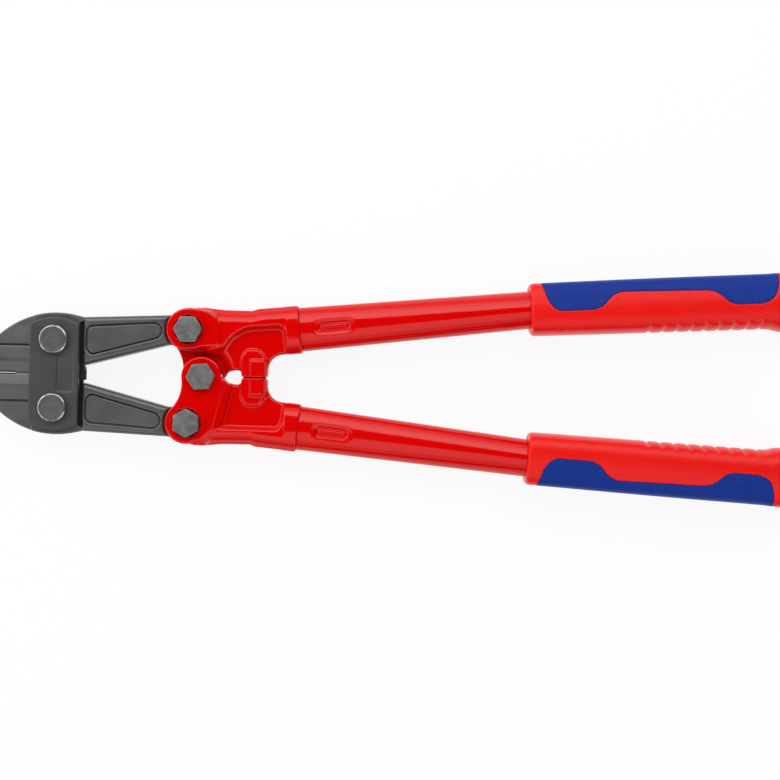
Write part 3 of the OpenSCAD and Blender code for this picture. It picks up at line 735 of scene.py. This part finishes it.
tube_start = np.array([54.2, 27.7])
tube_angle = 6.2
oval_width, oval_thickness = 24.8, 17.6
collar_step, collar_length = 0.5, 7.0
OVAL_POWER = 2.3
lug_r = 11.4
waist_r = 20.0
linkage_play = 1.85
web_z = 4.5
bar_z = oval_thickness / 2
bar_width = 9.3
pad_z, block_z = 6.3, 7.5
stop_start, stop_length, stop_half_gap = 22.1, 14.4, 0.3
stop_end = stop_start + stop_length
throat_r = 9.3
lug_face_z = 0.15
collar_half = oval_width / 2 + collar_step
throat = np.array([stop_end + throat_r, tube_start[1] - collar_half - 1 - throat_r])


def head_outline(reach=0):
    """The head from above. The bar reaches on under the collar and is trimmed there."""
    across = unit(tube_angle + 90)
    collar = tube_start + reach * unit(tube_angle)
    top = pin[1] + boss_r
    throat_arc = [throat + throat_r * unit(a) for a in range(90, 181, 15)]
    return (
        [(pin[0], top), (1, top + 0.4), (12, top - 0.7)]
        + [(stop_start + 5.2, top - 0.8), (stop_start + 8.8, top + 0.4)]
        + [collar + collar_half * across, collar - collar_half * across]
        + throat_arc
        + [(stop_end, stop_half_gap + 1), (stop_end - 1, stop_half_gap), (stop_start + 1, stop_half_gap)]
        + [(stop_start, stop_half_gap + 1), (stop_start, 3.2), (stop_start - 1.3, 4.2)]
        + [(stop_start - 4.2, 4.2), (stop_start - 7.4, 3.4), (stop_start - 9.2, 1.7)]
        + [(stop_start - 9.6, stop_half_gap)]
        + [(0, stop_half_gap), (0, pin[1] - boss_r), (pin[0], pin[1] - boss_r)]
    )


def arched_panel():
    """The web's open side on the front, where the bar stops."""
    top, left, right = pin[1] + boss_r - bar_width, 12.6, tube_start[0] - 7.4
    return [
        (-30, -9), (-30, lug_r + 2.6), (left - 1.6, lug_r + 2.8), (left + 4, top - 6.2),
        (left + 12, top - 1.4), (right - 4.2, top + 0.2), (right - 0.9, top - 2), (right, top - 12),
        (right, -9),
    ]


def straight_panel():
    """The same on the back."""
    top, left, right = pin[1] + boss_r - bar_width - 0.8, 8, tube_start[0] - 9
    return [
        (left, -9), (left, top), (right - 2, top + 0.4), (right, top - 4), (right + 1, top - 12),
        (right + 1, -9),
    ]


def stop_pad():
    """The low pad that carries the stop's block."""
    a, b = stop_start - 0.6, stop_end - 0.9
    return [(a, -1), (a, 10.4), (a + 2.6, 15.4), (a + 7, 16.3), (b - 3, 15.4), (b, 11.4), (b, -1)]


def hourglass(x, y):
    """The plate that joins a boss and the half lug, with a hollow between the two."""
    distance = np.linalg.norm(pin)
    to_boss, to_lug = boss_r + waist_r, lug_r + waist_r
    along = (to_lug**2 - to_boss**2 + distance**2) / (2 * distance)
    aside = math.sqrt(to_lug**2 - along**2)
    waist = (along * pin + aside * np.array([-pin[1], pin[0]])) / distance
    flat = np.minimum(circle(x, y, (0, 0), lug_r), circle(x, y, pin, boss_r))
    hollow = np.maximum(polygon(x, y, [(0, 0), waist, pin]), -circle(x, y, waist, waist_r))
    return np.minimum(flat, hollow)


def hourglass_side(x, y):
    """The same plate's straight side towards the web."""
    sides = [
        (-3, 0), pin - [3, 0], pin + [6.1, boss_r - 1.6], pin + [9, boss_r - 2.7], pin + [15.3, 3.2],
        (lug_r + 1.4, 6.3), (lug_r - 0.3, 2),
    ]
    return polygon(x, y, softened(sides, 2))


def small_cheek():
    """The cheek on the side without the half lug."""
    return [
        pin + [-4.8, 1 - boss_r], pin + [16.3, -9], pin + [17.5, -7.2], pin + [17.5, -0.5],
        pin + [15.4, 7.8], pin + [12.4, 10], pin + [7.6, boss_r - 0.5], pin + [0, boss_r],
    ]


def oval_collar(grid):
    """The collar that the tube butts against, with its edges rounded."""
    along, across = grid.turned(tube_start, tube_angle)
    half_height, edge = bar_z + collar_step, 0.4
    powers = np.abs(across / collar_half) ** OVAL_POWER + np.abs(grid.z / half_height) ** OVAL_POWER
    side = (powers ** (1 / OVAL_POWER) - 1) * half_height + edge
    level = np.abs(along + collar_length / 2) - collar_length / 2 + edge
    outside = np.hypot(np.maximum(side, 0), np.maximum(level, 0))
    return outside + np.minimum(np.maximum(side, level), 0) - edge


def lug_room(x, y, z):
    """Room for the other handle's half lug, whose walls lean away from it."""
    lean = 0.1 + 0.8 * np.clip((x - 4) / 6, 0, 1)
    along = np.clip((0.5 * x + 1.6 * y) / (0.5**2 + 1.6**2), 0, 1)
    path = np.hypot(x - 0.5 * along, y - 1.6 * along)
    height = np.clip(z + lug_face_z, 0, web_z + 0.5)
    round_room = (path - lug_r - 0.4 - lean * height) / np.sqrt(1 + lean**2)
    return np.minimum(round_room, np.maximum(x - 2.5, y - pin[1] + boss_r - 1))


def web_and_bar(grid, outline):
    """The web with the thick bar round it, which is opened on the front and on the back."""
    x, y, z = grid.x, grid.y, grid.z
    web = layer(grid, outline, -web_z, web_z, 1.0)
    bar = layer(grid, polygon(x, y, softened(head_outline(9), 1.5)), -bar_z, bar_z, bar_z - 1.5)
    bar = np.maximum(bar, grid.turned(tube_start, tube_angle)[0] + 0.3)
    above_web = np.abs(z) - web_z
    arched = polygon(x, y, softened(arched_panel(), 12)) - 0.45 * above_web + 1.0
    straight = polygon(x, y, softened(straight_panel(), 3)) - 0.45 * above_web + 0.9
    opening = np.where(z > 0, arched, straight) * 0.91
    return join(cut(bar, np.maximum(opening, -above_web), 0.8), web, 1.6)


def stop_field(grid, outline):
    """The stop that meets the other handle's: a pad and a block on each face."""
    x, y, z = grid.x, grid.y, grid.z
    pad = layer(grid, polygon(x, y, softened(stop_pad(), 7)), -pad_z, pad_z, 1.2)
    left, right, top = stop_start + 4.5, stop_end - 1.1, 10.5
    sides = polygon(x, y, softened([(left, -9), (left, top), (right, top), (right, -9)], 1))
    block = (sides + 0.9 * (np.abs(z) - pad_z)) * 0.75
    return np.maximum(join(pad, layer(grid, block, -block_z, block_z, 0.5), 0.4), outline)


def lug_plate(grid, outline):
    """The plate with the half lug, and the slope from its side down to the web."""
    x, y, z = grid.x, grid.y, grid.z
    side = hourglass_side(x, y)
    # The forging's sides lean, so that it is widest at the mid-plane
    flat = np.minimum(hourglass(x, y) - 0.35 + 0.07 * np.abs(z), side)
    plate = layer(grid, flat, -cheek_out_z, -lug_face_z, 0.8)
    depth = z + cheek_out_z
    slope = side - np.interp(depth, [0.3, 2.2, cheek_out_z - web_z], [0.2, 3.4, 4.3])
    slope = np.maximum(slope * 0.6, np.maximum(outline, z + lug_face_z))
    return join(plate, common(slope, 0.3 - depth, 0.8), 0.5)


def blade_room(x, y, z):
    """Room that the blade's eye and arm sweep between the cheeks."""
    r = eye_r + 0.4
    slot = np.minimum(circle(x, y, pin, r), np.maximum(x - pin[0], pin[1] - r - y))
    slot = np.minimum(slot, np.maximum(x - pin[0] - 0.4 * r, pin[1] - y))
    return np.maximum(slot, np.abs(z) - cheek_in_z)


def handle_head(socket_side, lug_bore_r):
    """A forged head with its half lug below the mid-plane. socket_side says where the front is."""
    grid = Grid((-22, -13, -cheek_out_z - 1), (58, 42, cheek_out_z + 1), (0.45, 0.45, 0.4))
    x, y, z = grid.x, grid.y, grid.z
    outline = polygon(x, y, softened(head_outline(), 1.5))
    body = join(web_and_bar(grid, outline), stop_field(grid, outline), 0.6)
    body = join(body, oval_collar(grid), 1.6)
    cheek = join(circle(x, y, pin, boss_r), polygon(x, y, softened(small_cheek(), 2)), 1.0)
    body = join(body, layer(grid, cheek, 0, cheek_out_z, 1.0), 2.0)
    body = join(body, lug_plate(grid, outline), 0.6)
    fillet = 0.4 + 2 * np.clip((x - 4) / 6, 0, 1)
    body = cut(body, np.maximum(lug_room(x, y, z), -lug_face_z - z), fillet)
    body = cut(body, blade_room(x, y, z), 0.3)
    body = cut(body, np.maximum(circle(x, y, (0, 0), lug_bore_r), z - 0.2), 0.2)
    body = cut(body, circle(x, y, adjust_axis, eccentric_shank_r + bore_fit))
    # The eccentric bolt's wide part and its twelve-point socket are at the front
    forward = z * socket_side
    body = cut(body, np.maximum(circle(x, y, adjust_axis, 6.75), -forward))
    hexagons = [hexagon(*grid.turned(adjust_axis, turn), hex_flats + 0.6) for turn in (0, 30)]
    body = cut(body, np.maximum(np.minimum(*hexagons), socket_floor_z - forward), 0.4)
    # The spigot that the tube is crimped on
    along, across = grid.turned(tube_start, tube_angle)
    spigot = np.maximum(stadium(across, z, oval_width - 6, oval_thickness - 6), -along - 2)
    return skin(grid, common(join(body, spigot), along - 1.0))


upper_head = handle_head(1, pivot_shank_r + linkage_play)
lower_head = turned_over(*handle_head(-1, pivot_bore_r))
piece("upper_handle_head", "upper_handle", "red_paint", red_paint, *upper_head)
piece("lower_handle_head", "lower_handle", "red_paint", red_paint, *lower_head)

# ---- Tubes ----

tube_run = 129.0
tube_r = 10.6
tube_wall = 2.0
tube_in_grip = 12.0
crimp_position, crimp_length, crimp_width = 19.6, 24.0, 7.6
grip_start = tube_start + tube_run * unit(tube_angle)
grip_angle = 3.45
grip_length = (grip_end_x - grip_start[0]) / math.cos(math.radians(grip_angle))


AROUND = 360
TURN = np.linspace(0, 2 * math.pi, AROUND, endpoint=False)


def oval_ring(half_width, half_height):
    """Points round an oval that is flatter than an ellipse, from the middle of its top."""
    ring = np.column_stack([np.sin(TURN), np.cos(TURN)])
    return [half_width, half_height] * np.sign(ring) * np.abs(ring) ** (2 / OVAL_POWER)


def crimp_depth(along, across):
    """How deep the crimp is: a soft hollow with a closed groove in it, round a raised bar."""
    along = along - crimp_position
    hollow = stadium(along, across, crimp_length - 0.6, crimp_width + 1)
    groove = stadium(along, across, crimp_length - 5.4, crimp_width - 1.4)
    depth = np.interp(hollow, [-2.2, -1.2, 0.4], [0.75, 0.6, 0])
    return depth + np.interp(groove, [-2.5, -2.1, -1.6, -0.7, -0.1], [-0.15, 0.1, 0.8, 0.8, 0])


def tube_ring(distance, inset):
    """One ring of the tube, from oval at the head to round at the grip."""
    t = min(distance / tube_run, 1)
    oval = oval_ring(oval_width / 2 - inset, oval_thickness / 2 - inset)
    rounded = (tube_r - inset) * np.column_stack([np.sin(TURN), np.cos(TURN)])
    across, up = (oval * (1 - t) + rounded * t).T
    if inset < 1:
        up = up - np.sign(up) * crimp_depth(distance, across) * (np.abs(up) > 0.6 * bar_z)
    return across, up


def handle_tube():
    """The tube as one closed loft: along its outside to the grip, and back along its bore."""
    near_crimp = np.arange(crimp_position - 14, crimp_position + 14, 0.4 * COARSER)
    outside = [0.35, 2.0, *near_crimp, *np.linspace(38, tube_run, 12), tube_run + 4]
    bore = [tube_run + tube_in_grip, tube_run, crimp_position + 20, 0.0]
    rings = [(0.0, 0.35)] + [(d, 0.0) for d in outside + bore[:1]] + [(d, tube_wall) for d in bore]
    points = []
    for distance, inset in rings:
        across, up = tube_ring(distance, inset)
        start, angle, along = tube_start, tube_angle, distance
        if distance > tube_run:
            start, angle, along = grip_start, grip_angle, distance - tube_run
        plan = start + along * unit(angle) + across[:, None] * unit(angle + 90)
        points.append(np.column_stack([plan, up]))
    around = np.arange(AROUND)
    after = (around + 1) % AROUND
    faces = []
    for n in range(len(points)):
        here, there = n * AROUND, (n + 1) % len(points) * AROUND
        faces.append(np.column_stack([there + around, there + after, here + after, here + around]))
    return np.concatenate(points), np.concatenate(faces)


tube = handle_tube()
for side, flip in SIDES:
    piece(f"{side}_tube", f"{side}_handle", "red_paint", red_paint, *flip(*tube))

# ---- Grips ----

grip_round_r = 17.6
grip_outer, grip_inner = 14.9, 15.5
outer_widening, inner_widening = 0.85, 1.9
guard_height, guard_length = 1.8, 15.0
grip_setback, grip_bore_depth = 0.7, 15.0
groove_count, groove_pitch, groove_depth, groove_margin = 9, 7.8, 1.5, 19.9
inlay_thickness = 2.2


def smooth_step(value, start, end):
    """Rises from 0 at start to 1 at end, level at both."""
    t = np.clip((value - start) / (end - start), 0, 1)
    return t * t * (3 - 2 * t)


def grip_field(grid):
    """The whole grip, with x along it and y outwards from the tube's axis."""
    u, v, z = grid.x, grid.y, grid.z
    outer = grip_outer + outer_widening * smooth_step(u, -0.2 * grip_length, 0.6 * grip_length)
    inner = grip_inner + inner_widening * u / grip_length
    guard_start = grip_length - guard_length
    inner = inner + guard_height * smooth_step(u, guard_start - 2, guard_start + 6)
    inner = inner - 1.4 * smooth_step(u, grip_length - 5, grip_length + 2)
    sides = np.maximum(v - outer, -v - inner)
    r = grip_round_r + guard_height * smooth_step(u, guard_start, grip_length - 6)
    section = common(np.hypot(v, z) - r, sides, 4 + 2.5 * smooth_step(-v, 0, 8))
    section = common(section, np.abs(z) - rest_z, 3.2 + 3 * smooth_step(v, -5, 6))
    # A row of finger grooves along the inner side
    phase = (u - grip_length + groove_margin) / groove_pitch
    inside_row = (phase < 0.5) & (phase > 0.5 - groove_count)
    notch = (1 - np.abs(np.sin(math.pi * phase))) ** 2.6 * inside_row
    section = section + groove_depth * notch * smooth_step(-v, 9.5, 14)
    # The far end is square to the tool's axis
    cos, sin = unit(grip_angle)
    ends = np.maximum(grip_setback - u, u * cos - v * sin - grip_length * cos)
    return common(section, ends, 3 + 2 * smooth_step(u, 10, 30))


def inlay_outline():
    """The two lobes of the soft inlay and the waist between them."""
    lobe, waist_v = -1.8, 7.4
    far = grip_outer + 6
    a, b = 6, 46.2
    c, d = grip_length - 45.9, grip_length - 11
    return [
        (a - 1, far), (a + 4.6, 3.8), (a + 7.3, 0.3), (a + 9.7, lobe + 0.6), (a + 11, lobe),
        (b - 9.5, lobe), (b - 5, 0.3), (b, 5.9), (b + 4.9, waist_v + 0.5), (c - 5, waist_v - 0.6),
        (c, 5.9), (c + 3.6, 2.9), (c + 7.6, -0.8), (c + 12, lobe), (d - 9.5, lobe),
        (d - 4.7, -0.3), (d - 1.7, 2.9), (d, 8.7), (d + 1.4, far),
    ]


def along_grip(points, faces):
    """From the grip's own axes to the tool frame."""
    plan = grip_start + points[:, :1] * unit(grip_angle) + points[:, 1:2] * unit(grip_angle + 90)
    return np.column_stack([plan, points[:, 2]]), faces


def grip_pieces():
    """The hard shell and the soft inlay, in the grip's own axes."""
    grid = Grid((-1.5, -19.5, -rest_z - 1.2), (grip_length + 2, 17.5, rest_z + 1.2), (0.55, 0.5, 0.5))
    body = grip_field(grid)
    zone = polygon(grid.x, grid.y, softened(inlay_outline(), 9))
    soft = np.maximum(zone, -(body + inlay_thickness))
    bore = np.maximum(np.hypot(grid.y, grid.z) - tube_r - bore_fit, grid.x - grip_bore_depth)
    shell = cut(cut(body, soft, 0.15), bore, 0.5)
    return skin(grid, shell), skin(grid, common(body, soft, 0.15))


shell, inlay = grip_pieces()
# The lobes are stippled up to a wavy line
middles = inlay[0][inlay[1]].mean(1)
stippled = middles[:, 1] < 4 + 0.8 * np.sin(middles[:, 0])
soft_grips = [blue_grip, stippled_grip]
for side, flip in SIDES:
    hard, soft = flip(*along_grip(*shell)), flip(*along_grip(*inlay))
    piece(f"{side}_grip_shell", f"{side}_handle", "red_grip", red_grip, *hard)
    piece(f"{side}_grip_inlay", f"{side}_handle", "blue_grip", soft_grips, *soft, stippled)

# ---- Floor, light and camera ----


def studio_floor():
    """A pale floor: plain white to the eye and in reflections, and it keeps the shadow."""
    size, white_share = 30.0, 0.9
    mesh = bpy.data.meshes.new("studio_floor")
    corners = [(-size, -size, 0), (size, -size, 0), (size, size, 0), (-size, size, 0)]
    mesh.from_pydata([(x, y, z - 0.0002) for x, y, z in corners], [], [(0, 1, 2, 3)])
    floor = bpy.data.objects.new("studio_floor", mesh)
    bpy.context.scene.collection.objects.link(floor)
    material, nodes, links, shader = new_material("pale_floor")
    shader.inputs["Base Color"].default_value = (0.9, 0.9, 0.9, 1)
    shader.inputs["Roughness"].default_value = 0.9
    path = nodes.new("ShaderNodeLightPath")
    seen = path.outputs["Is Camera Ray"]
    for kind in ("Is Glossy Ray", "Is Transmission Ray"):
        either = nodes.new("ShaderNodeMath")
        either.operation = "MAXIMUM"
        links.new(seen, either.inputs[0])
        links.new(path.outputs[kind], either.inputs[1])
        seen = either.outputs[0]
    share = nodes.new("ShaderNodeMath")
    share.operation = "MULTIPLY"
    share.inputs[1].default_value = white_share
    links.new(seen, share.inputs[0])
    white = nodes.new("ShaderNodeEmission")
    white.inputs["Strength"].default_value = 1.0
    blend = nodes.new("ShaderNodeMixShader")
    links.new(share.outputs[0], blend.inputs["Fac"])
    links.new(shader.outputs["BSDF"], blend.inputs[1])
    links.new(white.outputs["Emission"], blend.inputs[2])
    links.new(blend.outputs["Shader"], nodes["Material Output"].inputs["Surface"])
    mesh.materials.append(material)


def panel_light(name, middle, target, size, radiance):
    """A soft panel of even radiance that faces a target."""
    light = bpy.data.lights.new(name, "AREA")
    light.shape = "RECTANGLE"
    light.size, light.size_y = size
    light.energy = radiance * math.pi * size[0] * size[1]
    lamp = bpy.data.objects.new(name, light)
    lamp.location = middle
    lamp.rotation_euler = (Vector(target) - Vector(middle)).to_track_quat("-Z", "Y").to_euler()
    lamp.visible_camera = False
    bpy.context.scene.collection.objects.link(lamp)


def soft_arch(name, target, distance, length, steps):
    """Long panels side by side along X: each has two angles from overhead and its radiance."""
    for n, (start, end, radiance) in enumerate(steps):
        middle = math.radians((start + end) / 2)
        width = 2 * distance * math.tan(math.radians(abs(end - start)) / 2)
        place = Vector(target) + distance * Vector((0, math.sin(middle), math.cos(middle)))
        panel_light(f"{name}_{n}", place, target, (length, width), radiance)


def studio_world():
    """Dark overhead and pale at the horizon, as in a studio with a black ceiling."""
    world = bpy.data.worlds.new("studio")
    world.use_nodes = True
    nodes, links = world.node_tree.nodes, world.node_tree.links
    split = nodes.new("ShaderNodeSeparateXYZ")
    links.new(nodes.new("ShaderNodeTexCoord").outputs["Generated"], split.inputs[0])
    level = ramp(nodes, links, split.outputs["Z"], [(0.02, 0.6), (0.2, 0.02)])
    links.new(level, nodes["Background"].inputs["Color"])
    bpy.context.scene.world = world


studio_floor()
studio_world()
studio_x = (cad_bounds[0][0] + cad_bounds[1][0]) / 2 - 0.6
arch_middle = (studio_x, 0, TOOL_ORIGIN[2])
soft_arch("upper_panel", arch_middle, 1.3, 2.8, [(20, 45, 2.85), (45, 63, 2.0), (63, 82, 0.8)])
soft_arch("lower_panel", arch_middle, 1.3, 2.8, [(-9, -45, 1.15), (-45, -68, 0.6)])
corners = [(-1, -1, 3.2), (1, -1, 3.2), (-1, 1, 1.8), (1, 1, 1.8)]
for n, (side, across, radiance) in enumerate(corners):
    corner = (studio_x + side * 1.75, across * 1.3, TOOL_ORIGIN[2] + 0.6)
    panel_light(f"corner_panel_{n}", corner, arch_middle, (0.9, 0.9), radiance)
panel_light("left_panel", (-1.3, 0.1, 0.5), (0, 0, 0), (0.9, 0.7), 1.6)

camera_data = bpy.data.cameras.new("camera")
camera_data.sensor_fit = "HORIZONTAL"
camera_data.angle = math.radians(28.72)
camera = bpy.data.objects.new("camera", camera_data)
camera.location = (0.0037, -0.0051, TOOL_ORIGIN[2] + 0.860)
camera.rotation_euler = (0, 0, math.radians(1.306))
bpy.context.scene.collection.objects.link(camera)
bpy.context.scene.camera = camera
bpy.context.scene.view_settings.view_transform = "Standard"
